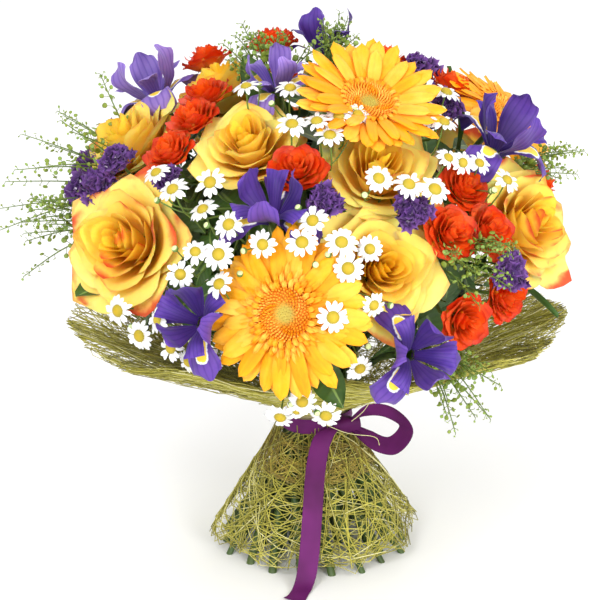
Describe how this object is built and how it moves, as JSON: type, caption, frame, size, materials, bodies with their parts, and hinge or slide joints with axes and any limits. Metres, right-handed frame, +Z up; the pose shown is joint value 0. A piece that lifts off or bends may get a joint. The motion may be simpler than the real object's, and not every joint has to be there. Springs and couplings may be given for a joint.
{
  "type": "mixed flower bouquet",
  "caption": "Round hand-tied bouquet of roses, gerberas, irises and small sprays on spiral stems, with a sisal collar and skirt, tied with a satin ribbon, standing on its cut stem ends.",
  "frame": {"origin": "middle of the overall box, on the surface that the cut stem ends stand on", "axes": "+Z up along the bouquet's own axis, -Y towards the viewer of the picture, +X to that viewer's right"},
  "size_m": [0.4154, 0.4113, 0.4086],
  "materials": {
    "rose": "soft matt petals, cream yellow with red edges",
    "gerbera": "soft matt petals, orange yellow",
    "spray_rose": "soft matt petals, orange red",
    "iris": "soft matt petals, blue violet",
    "statice": "dry papery florets, purple",
    "chamomile": "white rays with a yellow disc",
    "pennycress": "green seed pods on thin stalks",
    "stems": "green stems and leaves",
    "collar": "olive sisal fibre",
    "skirt": "olive sisal fibre",
    "ribbon": "purple satin",
    "twine": "natural twine"
  },
  "bodies": {
    "root": {"chamomile_back": "chamomile", "chamomile_left": "chamomile", "chamomile_left_low": "chamomile", "chamomile_low": "chamomile", "chamomile_middle": "chamomile", "chamomile_right": "chamomile", "chamomile_top": "chamomile", "chamomile_top_right": "chamomile", "collar": "collar", "gerbera_back_left": "gerbera", "gerbera_front_low": "gerbera", "gerbera_right_high": "gerbera", "gerbera_top_right": "gerbera", "iris_back": "iris", "iris_centre": "iris", "iris_left_low": "iris", "iris_left_top": "iris", "iris_right_high": "iris", "iris_right_low": "iris", "iris_top": "iris", "iris_top_left": "iris", "pennycress_left": "pennycress", "pennycress_left_low": "pennycress", "pennycress_right": "pennycress", "pennycress_right_front": "pennycress", "pennycress_right_low": "pennycress", "pennycress_top": "pennycress", "pennycress_top_right": "pennycress", "ribbon": "ribbon", "rose_back_centre": "rose", "rose_back_high": "rose", "rose_back_left": "rose", "rose_back_right": "rose", "rose_centre_left": "rose", "rose_centre_right": "rose", "rose_front_left": "rose", "rose_front_right": "rose", "rose_left_high": "rose", "rose_left_low": "rose", "rose_right": "rose", "rose_top": "rose", "skirt": "skirt", "spray_rose_back": "spray_rose", "spray_rose_back_right": "spray_rose", "spray_rose_left": "spray_rose", "spray_rose_middle": "spray_rose", "spray_rose_right": "spray_rose", "spray_rose_right_low": "spray_rose", "spray_rose_top_left": "spray_rose", "spray_rose_top_right": "spray_rose", "statice_back": "statice", "statice_left": "statice", "statice_left_inner": "statice", "statice_middle": "statice", "statice_right_low": "statice", "statice_top_right": "statice", "stems": "stems", "twine": "twine"}
  },
  "joints": []
}
